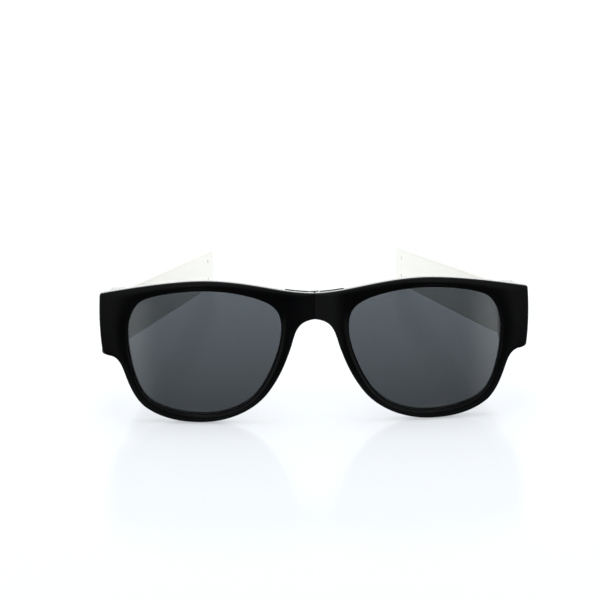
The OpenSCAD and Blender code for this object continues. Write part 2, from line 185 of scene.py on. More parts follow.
def finishPiece(piece, side, node, material, sharp=32):
    mesh = piece.data
    mesh.transform(sidePlace[side])
    if side == "left":
        mesh.flip_normals()
    mesh.materials.clear()
    mesh.materials.append(material)
    mesh.shade_smooth()
    mesh.set_sharp_from_angle(angle=radians(sharp))
    mesh.update()
    weigh = piece.modifiers.new("weigh", "WEIGHTED_NORMAL")
    weigh.keep_sharp = True
    bake(piece)
    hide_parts(node)
    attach(piece, side + "_half")
    return piece


# Curves and outlines
def cubic(corners, t):
    a, b, c, d = (Vector(p) for p in corners)
    return (1 - t) ** 3 * a + 3 * t * (1 - t) ** 2 * b + 3 * t * t * (1 - t) * c + t ** 3 * d


def ease(t):
    u = min(1, max(0, t))
    return u * u * (3 - 2 * u)


def arc(x, y, r, start, sweep=90, steps=6):
    turns = [radians(start + sweep * k / steps) for k in range(steps + 1)]
    return [(x + r * cos(t), y + r * sin(t)) for t in turns]


def roundRect(x0, y0, x1, y1, r):
    return (arc(x1 - r, y1 - r, r, 0) + arc(x0 + r, y1 - r, r, 90)
        + arc(x0 + r, y0 + r, r, 180) + arc(x1 - r, y0 + r, r, 270))


def dome(r, high, turns):
    # (radius, height) from the edge of a low dome to its top
    return [(r * cos(radians(t)), high * sin(radians(t))) for t in turns]


# The front
front = {
    "thick": 4.4,
    "half": 72.5,           # half of its width
    "wrap": 460,            # radius of the bend seen from above
    "saddle": 44.1,         # the bridge's upper edge at the seam
    "arch": 35.2,           # and its lower edge
    "pastSeam": -3,         # the outline runs on to here, and the seam cuts it off
    "edge": 1.05,           # rounding of the outer edges
    "bevelTop": 0.12,       # where the front face begins round the lens
    "rebate": {             # a flat floor round the lens, then a slope up to the front face
        "deep": 0.46,
        "flat": 0.5,
        "wide": 0.78,
        "corner": 0.05,     # its broken corners, along the face
        "lip": 0.03,        # and across it
        "turn": 0.02,       # half the rounding at either end of the slope
    },
    "crown": 0.2,           # swell of the front face
    "faceSteps": 10,
    "rearSoft": 0.5,        # rounding of the opening's rear edge
    "rearSteps": 7,
    "groove": 0.8,
    "fit": 0.05,
    "fine": 4,              # steps for each one in the stretches
    "noseOut": 2.6,         # how far the moulded nose rest stands out rearwards
    "noseLow": 9,           # from this height
    "noseHigh": 32,         # to this one
    "noseSide": 21,         # and from the middle to here
    "noseFade": 7,
    "noseSplay": 0.35,      # it leans towards the lens by this share of its depth
    "noseFull": 1.05,       # it is full a little before the outer edge
}
lens = {
    "thick": 1.8,
    "behind": 1.2,          # this far behind the front face
    "rings": 28,            # rings of faces from its edge to its middle
}
fit = front["fit"]
saddle, arch, pastSeam = front["saddle"], front["arch"], front["pastSeam"]

# Half of the front's outline and the lens opening, as stretches of cubic curve with the
# number of steps along each. Clockwise from the top of the seam, seen from the front.
outerStretches = [
    ([(pastSeam, saddle), (9, 43.2), (19.5, 48.05), (36, 48.4)], 12),
    ([(36, 48.4), (46.5, 48.5), (60, 46.5), (71.1, 44.45)], 10),
    ([(71.1, 44.45), (71.9, 44.3), (72.15, 44), (72.2, 43.3)], 4),
    ([(72.2, 43.3), (72.65, 37), (72.6, 31), (72, 25.6)], 7),
    ([(72, 25.6), (71.9, 24.2), (71.4, 23.3), (70.1, 23.1)], 3),
    ([(70.1, 23.1), (66.9, 23), (65.75, 20.4), (64.65, 17.2)], 5),
    ([(64.65, 17.2), (62.85, 11.6), (61.1, 8.15), (58.5, 5.7)], 5),
    ([(58.5, 5.7), (53.6, 1.75), (47, 0), (39, 0)], 6),
    ([(39, 0), (31, 0), (22.2, 2.9), (16.65, 9.35)], 9),
    ([(16.65, 9.35), (12.7, 14.15), (10.2, 19.4), (7.9, 26.25)], 8),
    ([(7.9, 26.25), (6.25, 32), (5.5, arch), (pastSeam, arch)], 7),
    ([(pastSeam, arch), (pastSeam, 38), (pastSeam, 41), (pastSeam, saddle)], 3),
]
openingStretches = [
    ([(15.6, 40.6), (19.8, 43.1), (29.5, 45.1), (38, 45)], 12),
    ([(38, 45), (45.5, 44.9), (55.8, 43.6), (58.8, 41.1)], 14),
    ([(58.8, 41.1), (61.6, 38.6), (62.9, 34.9), (62.9, 30.4)], 7),
    ([(62.9, 30.4), (62.9, 24.5), (61.6, 16.3), (58.8, 11.2)], 8),
    ([(58.8, 11.2), (55.6, 5), (46, 3.1), (37.6, 3.1)], 11),
    ([(37.6, 3.1), (29.8, 3.1), (22.3, 5.8), (17.85, 12.95)], 9),
    ([(17.85, 12.95), (14.6, 18.1), (11.3, 26), (11.3, 32.3)], 8),
    ([(11.3, 32.3), (11.3, 36), (12.3, 38.8), (15.6, 40.6)], 10),
]


def walk(stretches, fine):
    return [cubic(corners, i / (steps * fine)) for corners, steps in stretches for i in range(steps * fine)]


outer = walk(outerStretches, front["fine"])
opening = walk(openingStretches, front["fine"])


def wrap(x, radius=front["wrap"]):
    return front["wrap"] - sqrt(radius * radius - x * x)


def noseRest(p):
    f = front
    return (f["noseOut"] * ease((p[1] - f["noseLow"]) / f["noseFade"])
        * ease((f["noseHigh"] - p[1]) / f["noseFade"]) * ease((f["noseSide"] - p[0]) / f["noseFade"]))


def rimSection(span, rest):
    # (outwards from the lens, rearwards) round the rim
    f, r, soft = front, front["rebate"], front["rearSoft"]
    edge, back, face = f["edge"], f["thick"], f["bevelTop"]
    points = [(0, r["deep"] + r["lip"]), (r["corner"], r["deep"]), (r["flat"], r["deep"] - r["turn"]),
        (r["wide"] - r["turn"], face + r["lip"]), (r["wide"] + r["turn"], face)]
    low, high = r["wide"] + r["corner"], span - edge
    for k in range(f["faceSteps"] + 1):
        u = 2 * k / f["faceSteps"] - 1
        points.append(((low + high) / 2 + u * (high - low) / 2, face - (face + f["crown"]) * (1 - u * u)))
    points += arc(high, face + edge, edge, -90)[1:]
    for x, y in arc(high, back - edge, edge, 0):
        share = ease((y - back + edge) / edge)
        points.append((x - f["noseSplay"] * rest * share, y + rest * share))
    rearHigh = high - f["noseSplay"] * rest
    for k in range(1, f["rearSteps"]):
        u = 1 - k / f["rearSteps"]
        points.append((soft + (rearHigh - soft) * u, back + rest * ease(u * f["noseFull"])))
    points += arc(soft, back - soft, soft, 90, steps=4)
    deep, near, far = f["groove"], lens["behind"], lens["behind"] + lens["thick"] + 2 * fit
    return points + [(0, far), (deep, far), (deep, near), (0, near)]


def alongRim(i, w):
    a, b = opening[i], outer[i]
    return a + (b - a) * w / (b - a).length


def rimRings():
    rings = []
    for i, (a, b) in enumerate(zip(opening, outer)):
        ring = []
        for w, y in rimSection((b - a).length, noseRest(b)):
            p = alongRim(i, w)
            ring.append(Vector((p[0], wrap(p[0]) + y, p[1])))
        rings.append(ring)
    return rings


# The end stub behind the front, in the frame of its mouth: y along the stub, 0 at its end
stub = {
    "thick": 6,
    "long": 17,
    "high": 19.9,
    "top": 42.9,
    "turn": 4,              # degrees inwards
    "round": 1.3,           # of its outer corners
    "fillet": 2,            # where it grows out of the front
    "soft": 0.3,
    "endWall": 2,           # between its channel and the front
    "step": 0.2,            # its outer face lies this far inside the front's end
    "flange": 0.9,          # its wall below the arm's root
}
cover = {
    "thick": 1.3,
    "corner": 0.6,
    "soft": 0.15,
    "screwLong": 5.6,
    "screws": (0.3, 0.7),   # how far up the cover they sit
}
arm = {
    "thick": 2.4,
    "long": 130,
    "rootHigh": 17.8,
    "high": 19,
    "tipHigh": 16,
    "turn": 12.6,           # degrees inwards behind the bend
    "bend": 18,             # the length that bends
    "deepens": (0.125, 0.75),   # from its root's height to its full one, in shares of the bend
    "waist": 1.7,           # how much lower its lower edge lies from there on
    "tipRound": 2.7,
    "edge": 0.8,
    "leastFlat": 0.02,      # half the flat that the rounding leaves on its edges at the tip
    "bendSteps": 28,
    "runSteps": 24,
    "tipSteps": 12,
}
past = {                    # how far cutters run on past what they cut
    "head": 1,
    "front": 5,
    "room": 10,
    "rear": 14,
    "bore": 15,
    "side": 20,
    "low": 20,              # these two are heights, below and above the bridge
    "top": 60,
}
stubLow = stub["top"] - stub["high"]
stubWall = stub["thick"] - cover["thick"] - arm["thick"] - 3 * fit
rootLong = stub["long"] - stub["endWall"]
armLow = stubLow + stub["flange"] + fit
mouthX = front["half"] - stub["step"] - stub["thick"] / 2
mouthX -= (stub["long"] + front["thick"]) * tan(radians(stub["turn"]))
mouthY = wrap(front["half"]) + front["thick"] + stub["long"]
mouth = Matrix.Translation((mouthX, mouthY, 0)) @ Matrix.Rotation(radians(stub["turn"]), 4, "Z")
acrossMouth = Matrix(((0, 0, 1, 0), (1, 0, 0, 0), (0, 1, 0, 0), (0, 0, 0, 1)))   # x, y, z from y, z, x
alongMouth = Matrix(((1, 0, 0, 0), (0, 0, -1, 0), (0, 1, 0, 0), (0, 0, 0, 1)))   # x, z drawn along -y
coverScrewZ = [armLow + arm["rootHigh"] * share for share in cover["screws"]]


def stubBlock():
    s = stub
    half, r, edge = s["thick"] / 2, s["round"], front["edge"]
    plan = [(half, -s["long"] - front["thick"] + 2 * edge)]
    plan += arc(half - r, -r, r, 0)
    plan += arc(-half + edge, -edge, edge, 90)
    plan += [(x - half - s["fillet"], -y - s["long"] + s["fillet"]) for x, y in arc(0, 0, s["fillet"], 0)]
    plan += [(-half - s["fillet"], -s["long"] - front["thick"] / 2)]
    block = prism("stubBlock", plan, stubLow, s["top"], mouth)
    inner = -2 * s["thick"]
    end = [(inner, stubLow)] + arc(half - r, stubLow + r, r, -90)
    end += arc(half - r, s["top"] - r, r, 0) + [(inner, s["top"])]
    rounded = prism("stubEnd", end, -past["front"], s["long"] + past["room"], mouth @ alongMouth)
    combine(block, "INTERSECT", [rounded])
    soften(block, s["soft"])
    return block


# The countersunk screws, alike but for their length
screw = {
    "head": 2.4,
    "shank": 1.4,
    "edge": 0.1,            # the head's upright edge
    "broken": 0.04,         # and its broken corner
    "point": 0.7,           # share of the shank that is left at the end
    "taper": 0.3,
    "recess": 1.5,          # the cross: from end to end of an arm
    "recessWide": 0.36,
    "recessDeep": 0.45,
    "sides": 48,
}


def screwHole(long, place):
    # place has its z along the screw, into the material, and its origin in the head's face
    head, shank, edge = screw["head"] / 2 + fit, screw["shank"] / 2 + fit, screw["edge"]
    above, deep = -past["head"], long + fit
    cone = edge + head - shank
    profile = [(0, above), (head, above), (head, edge), (shank, cone), (shank, deep), (0, deep)]
    return lathe("hole", profile, place, screw["sides"])


def coverScrewPlace(z):
    place = Matrix.Translation((-stub["thick"] / 2, -rootLong / 2, z))
    return mouth @ place @ Matrix.Rotation(radians(90), 4, "Y")


def coverHoles():
    return [screwHole(cover["screwLong"], coverScrewPlace(z)) for z in coverScrewZ]


# The bridge hinge
hinge = {
    "high": 8,
    "wide": 9.8,
    "plate": 1.2,
    "sunk": 0.8,            # depth of its pocket in the bridge
    "rise": 0.22,           # the leaf's top edge stands this far above the bridge
    "edgeSteps": 8,
    "knuckle": 3.4,
    "knuckles": 5,
    "crest": 0.3,           # the top knuckle stands above the others
    "gap": 0.1,             # between the knuckles
    "corner": 0.8,
    "soft": 0.12,
    "relief": 0.6,          # the hollow round the knuckles is this much wider
    "screwX": 6.074,
    "screwLong": 3.3,
}
hingePin = {
    "across": 1.5,
    "run": 0.03,            # clearance in the right leaf
    "head": 2.6,
    "dome": 0.15,
    "domeTurns": (0, 20, 40, 60, 75, 90),
}
seam = {
    "half": 0.015,
    "notchTop": 0.35,
    "notchLow": 0.15,
    "vee": {"left": 0.26, "right": 0.12},
    "veeLow": 1.3,          # it ends this far above the arch
    "face": -0.08,          # where the front face lies at the seam
}
pocketY = front["thick"] - hinge["sunk"]
hingeMid = worn["hingeMid"]
hingeLow, hingeTop = hingeMid - hinge["high"] / 2, hingeMid + hinge["high"] / 2
leafScrewZ = [hingeMid - hinge["high"] / 4, hingeMid + hinge["high"] / 4]
axisPlace = Matrix.Translation((0, worn["axisY"], 0))
rearward = Matrix.Rotation(radians(90), 4, "X")      # a lathe's axis drawn into the bridge


def leafScrewPlace(z):
    return Matrix.Translation((hinge["screwX"], pocketY + hinge["plate"], z)) @ rearward


def leafHoles():
    return [screwHole(hinge["screwLong"], leafScrewPlace(z)) for z in leafScrewZ]


def frontHalf(name, veeDeep):
    side, low, top = past["side"], past["low"], past["top"]
    half = loft(name, rimRings(), closed=True)
    combine(half, "UNION", [stubBlock()])
    cuts = [boxPiece("seamCut", (-side, -past["room"], 0), (seam["half"], side, top))]
    for z, notch in ((saddle, seam["notchTop"]), (arch, seam["notchLow"])):
        diamond = [(-notch, z), (0, z - notch), (notch, z), (0, z + notch)]
        cuts.append(prism("notch", diamond, -side, past["front"], alongMouth))
    face = seam["face"]
    vee = [(-veeDeep, face), (0, face + veeDeep), (veeDeep, face), (0, face - veeDeep)]
    cuts.append(prism("seamVee", vee, arch + seam["veeLow"], top, Matrix()))
    cuts.append(boxPiece("pocket", (-past["room"], pocketY, hingeLow - fit),
        (hinge["wide"] + fit, past["rear"], top)))
    relief = hinge["knuckle"] / 2 + hinge["relief"] / 2
    cuts.append(lathe("relief", [(0, low), (relief, low), (relief, top), (0, top)], axisPlace))
    cuts.append(boxPiece("channel", (-stub["thick"], -rootLong - fit, armLow - fit),
        (stub["thick"] / 2 - stubWall, past["room"], armLow + arm["rootHigh"] + fit), mouth))
    combine(half, "DIFFERENCE", cuts + leafHoles() + coverHoles())
    return half


# The lens: two faces that bend with the front, and an edge that sits in the groove
def lensPiece(name):
    edge = [alongRim(i, front["groove"] - fit) for i in range(len(opening))]
    middle = sum(edge, Vector((0, 0))) / len(edge)
    points, faces = [], []
    size = len(edge)
    frontRadius = front["wrap"] - lens["behind"] - fit
    for radius in (frontRadius, frontRadius - lens["thick"]):
        first = len(points)
        for k in range(lens["rings"], 0, -1):
            for p in edge:
                q = middle + (p - middle) * k / lens["rings"]
                points.append((q[0], wrap(q[0], radius), q[1]))
        points.append((middle[0], wrap(middle[0], radius), middle[1]))
        for k in range(lens["rings"] - 1):
            for i in range(size):
                a, b = first + k * size + i, first + k * size + (i + 1) % size
                faces.append((a, b, b + size, a + size))
        last = len(points) - 1
        faces += [(last - size + i, last - size + (i + 1) % size, last) for i in range(size)]
    rear = lens["rings"] * size + 1
    faces += [(i, (i + 1) % size, rear + (i + 1) % size, rear + i) for i in range(size)]
    return newPiece(name, points, faces)


def bridgeTop(x):
    for a, b in zip(outer, outer[1:]):
        if a[0] <= x <= b[0]:
            return a[1] + (b[1] - a[1]) * (x - a[0]) / (b[0] - a[0])


def leafPiece(name, firstKnuckle):
    h = hinge
    r, corner, soft, gap = h["knuckle"] / 2, h["corner"], h["soft"], h["gap"]
    left, right = r + gap, h["wide"]
    outline = arc(left + corner, hingeLow + corner, corner, 180)
    outline += arc(right - corner, hingeLow + corner, corner, 270)
    for k in range(h["edgeSteps"] + 1):
        x = right + (left - right) * k / h["edgeSteps"]
        outline.append((x, bridgeTop(x) + h["rise"]))
    leaf = prism(name, outline, -pocketY - h["plate"], -pocketY, alongMouth)
    soften(leaf, soft, 2)
    each = h["high"] / h["knuckles"]
    added = []
    for k in range(firstKnuckle, h["knuckles"], 2):
        z0, z1 = hingeLow + k * each + gap / 2, hingeLow + (k + 1) * each - gap / 2
        z1 += h["crest"] if k == h["knuckles"] - 1 else 0
        barrel = [(0, z0), (r - soft, z0), (r, z0 + soft), (r, z1 - soft), (r - soft, z1), (0, z1)]
        added.append(lathe("knuckle", barrel, axisPlace))
        added.append(boxPiece("web", (0, pocketY + gap, z0), (r + corner, pocketY + h["plate"], z1)))
    combine(leaf, "UNION", added)
    # the pin is pressed into the left leaf, which has the first knuckle, and runs free in the right one
    bore = (hingePin["across"] + hingePin["run"] * 2 * firstKnuckle) / 2
    low, high = hingeLow - past["front"], hingeLow + past["bore"]
    holes = [lathe("bore", [(0, low), (bore, low), (bore, high), (0, high)], axisPlace)]
    combine(leaf, "DIFFERENCE", holes + leafHoles())
    return leaf


def pinPiece(name):
    high, shank = hingeTop + hinge["crest"], hingePin["across"] / 2
    head = dome(hingePin["head"] / 2, hingePin["dome"], hingePin["domeTurns"])
    profile = [(r, hingeLow - h) for r, h in reversed(head)] + [(shank, hingeLow), (shank, high)]
    return lathe(name, profile + [(r, high + h) for r, h in head], axisPlace)


def coverPiece(name):
    outline = roundRect(-rootLong, armLow, -fit, armLow + arm["rootHigh"], cover["corner"])
    inner = -stub["thick"] / 2
    plate = prism(name, outline, inner, inner + cover["thick"], mouth @ acrossMouth)
    soften(plate, cover["soft"], 2)
    combine(plate, "DIFFERENCE", coverHoles())
    return plate


# The arm, along its middle line: s is the length from the mouth of the stub
border = {                  # the moulded line on both faces
    "inside": 1.1,          # this far inside the edges
    "wide": 0.45,
    "deep": 0.18,
    "foot": 0.6,            # width of its floor, as a share
    "above": 0.75,          # where its cutter ends, as a share of the arm's thickness
}
strip = {"thick": 0.4, "high": 11.5, "short": 3}      # it ends this far short of the tip
rivet = {
    "across": 1.6,
    "fromTip": 9.5,
    "pitch": 7.6,
    "loose": 0.02,          # all round it
    "dome": 0.14,
    "domeTurns": (0, 18, 36, 54, 72, 90),
    "sunk": 0.04,           # its domes begin this far inside the arm's faces
    "sides": 48,
}
armX = stub["thick"] / 2 - stubWall - fit - arm["thick"] / 2
tipLow = armLow - arm["waist"]
bendTurn = radians(arm["turn"] - stub["turn"])
bendRadius = arm["bend"] / bendTurn


def beside(s, off, z):
    # the point at length s, off to the outer side, at height z
    turn = bendTurn * min(1, max(0, s / arm["bend"]))
    x, y = armX - bendRadius * (1 - cos(turn)), bendRadius * sin(turn)
    if s <= 0:
        y = s
    if s > arm["bend"]:
        x, y = x - (s - arm["bend"]) * sin(turn), y + (s - arm["bend"]) * cos(turn)
    return mouth @ Vector((x + off * cos(turn), y + off * sin(turn), z))


def spanAt(s):
    # lower and upper edge of the arm
    a = arm
    start, end = (a["bend"] * share for share in a["deepens"])
    deepen = ease((s - start) / (end - start))
    taper = min(1, max(0, (s - end) / (a["long"] - a["tipRound"] - end)))
    low = armLow - a["waist"] * deepen
    high = armLow + a["rootHigh"] + (a["high"] - a["waist"] - a["rootHigh"]) * deepen
    return low, high + (a["tipHigh"] - a["high"]) * taper


def fall(s, end, r):
    # how far a round corner of radius r has fallen away at s
    return r - sqrt(max(0, r * r - max(0, s - end + r) ** 2))


def runStops(first, last):
    # lengths round the bend, then along the straight stretch that ends at last
    bend, bendSteps, runSteps = arm["bend"], arm["bendSteps"], arm["runSteps"]
    stops = [bend * k / bendSteps for k in range(first, bendSteps)]
    return stops + [bend + (last - bend) * k / runSteps for k in range(runSteps)]


def armStops(start, end):
    r, steps = arm["tipRound"], arm["tipSteps"]
    stops = [start, start / 2] + runStops(0, end - r)
    return stops + [end - r + r * sin(radians(90 * k / steps)) for k in range(steps + 1)]


def sleeveRing(s):
    a = arm
    low, high = spanAt(s)
    corner, half = fall(s, a["long"], a["tipRound"]), a["thick"] / 2 - fall(s, a["long"], a["edge"])
    outline = roundRect(-half, low + corner, half, high - corner, min(a["edge"], half - a["leastFlat"]))
    return [beside(s, off, z) for off, z in outline]


def stripPiece(name, gap=0):
    # with a gap all round, it is the cutter of its own slot
    start, end = -rootLong - (past["head"] if gap else 0), arm["long"] - strip["short"] + gap
    half = strip["thick"] / 2 + gap
    rings = []
    for s in armStops(start, end):
        middle = sum(spanAt(s)) / 2
        reach = strip["high"] / 2 + gap - fall(s, end, arm["tipRound"])
        low, high = middle - reach, middle + reach
        corners = ((half, low), (half, high), (-half, high), (-half, low))
        rings.append([beside(s, off, z) for off, z in corners])
    return loft(name, rings)


def borderCutter(face):
    # a strip along the moulded line: out along the top, round the tip and back
    a, b = arm, border
    inset = b["inside"] + b["wide"] / 2
    r, end = a["tipRound"] - inset, a["long"] - inset
    low, high = spanAt(a["long"])
    stops = [-fit] + runStops(1, end - r)
    path = [(s, spanAt(s)[1] - inset) for s in stops]
    path += arc(end - r, high - inset - r, r, 90, -90) + arc(end - r, low + inset + r, r, 0, -90)
    path += [(s, spanAt(s)[0] + inset) for s in reversed(stops)]
    floor, top = face * (a["thick"] / 2 - b["deep"]), face * a["thick"] * b["above"]
    corners = ((-b["foot"], floor), (b["foot"], floor), (1, top), (-1, top))
    rings = []
    for i, p in enumerate(path):
        before, after = path[max(0, i - 1)], path[min(len(path) - 1, i + 1)]
        along = Vector((after[0] - before[0], after[1] - before[1])).normalized()
        side = Vector((-along[1], along[0])) * b["wide"] / 2
        rings.append([beside(p[0] + side[0] * w, off, p[1] + side[1] * w) for w, off in corners])
    return loft("border", rings)


def rivetPlaces():
    low, high = tipLow, tipLow + arm["tipHigh"]
    start = beside(arm["long"] - rivet["fromTip"], 0, (low + high - rivet["pitch"]) / 2)
    return start, Vector((0, 0, rivet["pitch"]))


def sleevePiece(name):
    sleeve = loft(name, [sleeveRing(s) for s in armStops(-rootLong, arm["long"])])
    cuts = [borderCutter(1), borderCutter(-1), stripPiece("stripSlot", fit)]
    start, step = rivetPlaces()
    across = Matrix.Rotation(radians(arm["turn"]), 4, "Z") @ Matrix.Rotation(radians(90), 4, "Y")
    r, reach = rivet["across"] / 2, arm["thick"]
    bore = [(0, -reach), (r, -reach), (r, reach), (0, reach)]
    for k in (0, 1):
        place = Matrix.Translation(start + step * k) @ across
        cuts.append(lathe("rivetHole", bore, place, rivet["sides"]))
    combine(sleeve, "DIFFERENCE", cuts + coverHoles())
    return sleeve


# Screws and rivets: one of each kind, set out in rows by geometry nodes
def screwModel(long):
    s = screw
    head, shank, edge, broken = s["head"] / 2, s["shank"] / 2, s["edge"], s["broken"]
    profile = [(0, -long), (shank * s["point"], -long), (shank, -long + s["taper"]),
        (shank, shank - head - edge), (head, -edge), (head, -broken), (head - broken, 0), (0, 0)]
    model = lathe("screwModel", profile, Matrix(), s["sides"])
    reach, half, deep = s["recess"] / 2, s["recessWide"] / 2, s["recessDeep"]
    combine(model, "DIFFERENCE", [boxPiece("recess", (-x, -y, -deep), (x, y, past["head"]))
        for x, y in ((reach, half), (half, reach))])
    return model


def rivetModel():
    r, half, sunk = rivet["across"] / 2 - rivet["loose"], arm["thick"] / 2, rivet["sunk"]
    head = dome(r, rivet["dome"], rivet["domeTurns"])
    profile = [(x, -half - h + sunk) for x, h in reversed(head)] + [(x, half + h - sunk) for x, h in head]
    return lathe("rivetModel", profile, Matrix(), rivet["sides"])


def rowTree():
    tree = bpy.data.node_groups.new("fastenerRow", "GeometryNodeTree")
    for socket, kind in (("Geometry", "Geometry"), ("Fastener", "Object"), ("Count", "Int"),
            ("Start", "Vector"), ("Step", "Vector"), ("Facing", "Vector"), ("Spin", "Float"),
            ("Seed", "Int"), ("Finish", "Material")):
        tree.interface.new_socket(socket, in_out="INPUT", socket_type="NodeSocket" + kind)
    tree.interface.new_socket("Geometry", in_out="OUTPUT", socket_type="NodeSocketGeometry")
    given = tree.nodes.new("NodeGroupInput")
    line = tree.nodes.new("GeometryNodeMeshLine")
    model = tree.nodes.new("GeometryNodeObjectInfo")
    place = tree.nodes.new("GeometryNodeInstanceOnPoints")
    random = tree.nodes.new("FunctionNodeRandomValue")      # its input 3 and output 1 are the plain numbers
    spin = tree.nodes.new("ShaderNodeCombineXYZ")
    turn = tree.nodes.new("GeometryNodeRotateInstances")
    real = tree.nodes.new("GeometryNodeRealizeInstances")
    paint = tree.nodes.new("GeometryNodeSetMaterial")
    out = tree.nodes.new("NodeGroupOutput")
    for source, output, target, socket in (
            (given, "Count", line, "Count"), (given, "Start", line, "Start Location"),
            (given, "Step", line, "Offset"), (given, "Fastener", model, "Object"),
            (line, "Mesh", place, "Points"), (model, "Geometry", place, "Instance"),
            (given, "Facing", place, "Rotation"), (given, "Spin", random, 3),
            (given, "Seed", random, "Seed"), (random, 1, spin, "Z"),
            (place, "Instances", turn, "Instances"), (spin, "Vector", turn, "Rotation"),
            (turn, "Instances", real, "Geometry"), (real, "Geometry", paint, "Geometry"),
            (given, "Finish", paint, "Material"), (paint, "Geometry", out, "Geometry")):
        tree.links.new(source.outputs[output], target.inputs[socket])
    return tree


def fastenerRow(name, tree, row):
    piece = bpy.data.objects.new(name, bpy.data.meshes.new(name))
    scene.collection.objects.link(piece)
    step = piece.modifiers.new("row", "NODES")
    step.node_group = tree
    for socket in tree.interface.items_tree:
        if socket.in_out == "INPUT" and socket.name in row:
            step[socket.identifier] = row[socket.name]
    bake(piece)
    return piece


# Materials: made from noise on Object coordinates, which are metres
def newMaterial(name, sockets):
    made = bpy.data.materials.new(name)
    made.use_nodes = True
    shader = made.node_tree.nodes["Principled BSDF"]
    for socket, value in sockets.items():
        shader.inputs[socket].default_value = value
    return made, made.node_tree, shader


def noise(tree, scale, detail=2.0, stretch=(1, 1, 1)):
    place = tree.nodes.new("ShaderNodeTexCoord").outputs["Object"]
    mapping = tree.nodes.new("ShaderNodeMapping")
    mapping.inputs["Scale"].default_value = stretch
    texture = tree.nodes.new("ShaderNodeTexNoise")
    texture.inputs["Scale"].default_value = scale
    texture.inputs["Detail"].default_value = detail
    tree.links.new(place, mapping.inputs["Vector"])
    tree.links.new(mapping.outputs["Vector"], texture.inputs["Vector"])
    return texture.outputs["Fac"]


def splitPlace(tree, kind="Object"):
    split = tree.nodes.new("ShaderNodeSeparateXYZ")
    tree.links.new(tree.nodes.new("ShaderNodeTexCoord").outputs[kind], split.inputs["Vector"])
    return split.outputs


def ramp(tree, value, source, target):
    node = tree.nodes.new("ShaderNodeMapRange")
    node.inputs["From Min"].default_value, node.inputs["From Max"].default_value = source
    node.inputs["To Min"].default_value, node.inputs["To Max"].default_value = target
    tree.links.new(value, node.inputs["Value"])
    return node.outputs["Result"]


def smooth(tree, value, source, target):
    result = ramp(tree, value, source, target)
    result.node.interpolation_type = "SMOOTHSTEP"
    return result


def mathNode(tree, kind, *values):
    node = tree.nodes.new("ShaderNodeMath")
    node.operation = kind
    for socket, value in zip(node.inputs, values):
        if isinstance(value, (int, float)):
            socket.default_value = value
        else:
            tree.links.new(value, socket)
    return node.outputs[0]


def blendColour(tree, share, first, second):
    node = tree.nodes.new("ShaderNodeMix")
    node.data_type = "RGBA"
    for socket in node.inputs:
        if socket.name in ("A", "B") and socket.type == "RGBA":
            colour = first if socket.name == "A" else second
            if isinstance(colour, tuple):
                socket.default_value = (*colour, 1)
            else:
                tree.links.new(colour, socket)
    tree.links.new(share, node.inputs["Factor"])
    return [o for o in node.outputs if o.type == "RGBA"][0]


def bump(tree, shader, height, strength, distance):
    node = tree.nodes.new("ShaderNodeBump")
    node.inputs["Strength"].default_value = strength
    node.inputs["Distance"].default_value = distance
    tree.links.new(height, node.inputs["Height"])
    tree.links.new(node.outputs["Normal"], shader.inputs["Normal"])


def paintedSheenShare(tree, r):
    # painted sheen: how much lighter the bridge is coloured where it would catch light, more on its right
    # half
    across = splitPlace(tree)["X"]
    share = ramp(tree, across, (-r["seam"], r["seam"]), (r["leftShare"], 1))
    for source, target in ((r["left"], (0, 1)), (r["right"], (1, 0))):
        share = mathNode(tree, "MULTIPLY", share, smooth(tree, across, source, target))
    return share


def grained(name, g):
    # fine grain in the surface, and a slow drift in its colour and sheen
    made, tree, shader = newMaterial(name, g["sockets"])
    drift = ramp(tree, noise(tree, g["drift"]), noiseSpan["grain"], (0, 1))
    colour = blendColour(tree, drift, *g["colours"])
    # painted sheen: the bridge's black is blended towards a lighter black, standing in for light that its
    # right half catches
    if "paintedSheen" in g:
        colour = blendColour(tree, paintedSheenShare(tree, g["paintedSheen"]), colour, g["paintedSheen"]["colour"])
    tree.links.new(colour, shader.inputs["Base Color"])
    fineGrain = noise(tree, g["grain"], detail=3, stretch=g.get("stretch", (1, 1, 1)))
    rough = ramp(tree, fineGrain, noiseSpan["grain"], g["rough"])
    tree.links.new(rough, shader.inputs["Roughness"])
    bump(tree, shader, fineGrain, g["bump"], g["depth"])
    return made


def smokedGlass(name, g):
    made, tree, shader = newMaterial(name, g["sockets"])
    # the glass is made darker towards its bottom
    height = ramp(tree, splitPlace(tree)["Z"], g["heights"], (0, 1))
    tree.links.new(blendColour(tree, height, *g["tints"]), shader.inputs["Base Color"])
    rough = ramp(tree, noise(tree, g["smear"]), noiseSpan["smear"], g["rough"])
    tree.links.new(rough, shader.inputs["Roughness"])
    return made


